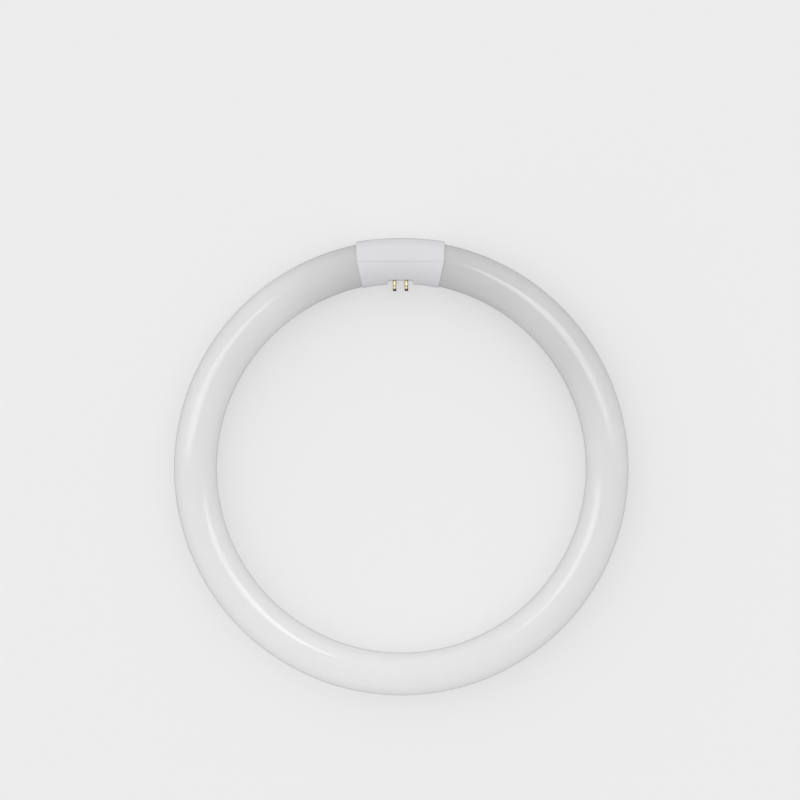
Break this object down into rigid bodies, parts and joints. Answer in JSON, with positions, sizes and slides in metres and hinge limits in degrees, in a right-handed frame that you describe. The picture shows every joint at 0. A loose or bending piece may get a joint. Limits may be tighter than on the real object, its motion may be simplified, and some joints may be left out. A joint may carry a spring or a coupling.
{
  "type": "circular fluorescent tube",
  "caption": "Circular fluorescent lamp: a phosphor-coated glass ring whose ends meet in a white plastic base with brass contact pins that point at the ring's centre.",
  "frame": {"origin": "centre of the glass ring, in its middle plane", "axes": "+Z along the ring's axis, +Y from the centre to the base, so the pins point along -Y"},
  "size_m": [0.3048, 0.3068, 0.0308],
  "materials": {
    "coated_glass": "opaque white phosphor coat behind clear glossy glass",
    "base_plastic": "moulded, satin, slightly cool white",
    "pin_brass": "drawn tube, rounded tip, crimped",
    "lead_metal": "thin drawn nickel-coated wire"
  },
  "bodies": {
    "root": {"glass_tube": "coated_glass", "base_outer_shell": "base_plastic", "base_inner_shell": "base_plastic", "contact_pin_1": "pin_brass", "contact_pin_2": "pin_brass", "contact_pin_3": "pin_brass", "contact_pin_4": "pin_brass", "lead_wire_1": "lead_metal", "lead_wire_2": "lead_metal", "lead_wire_3": "lead_metal", "lead_wire_4": "lead_metal"}
  },
  "joints": []
}
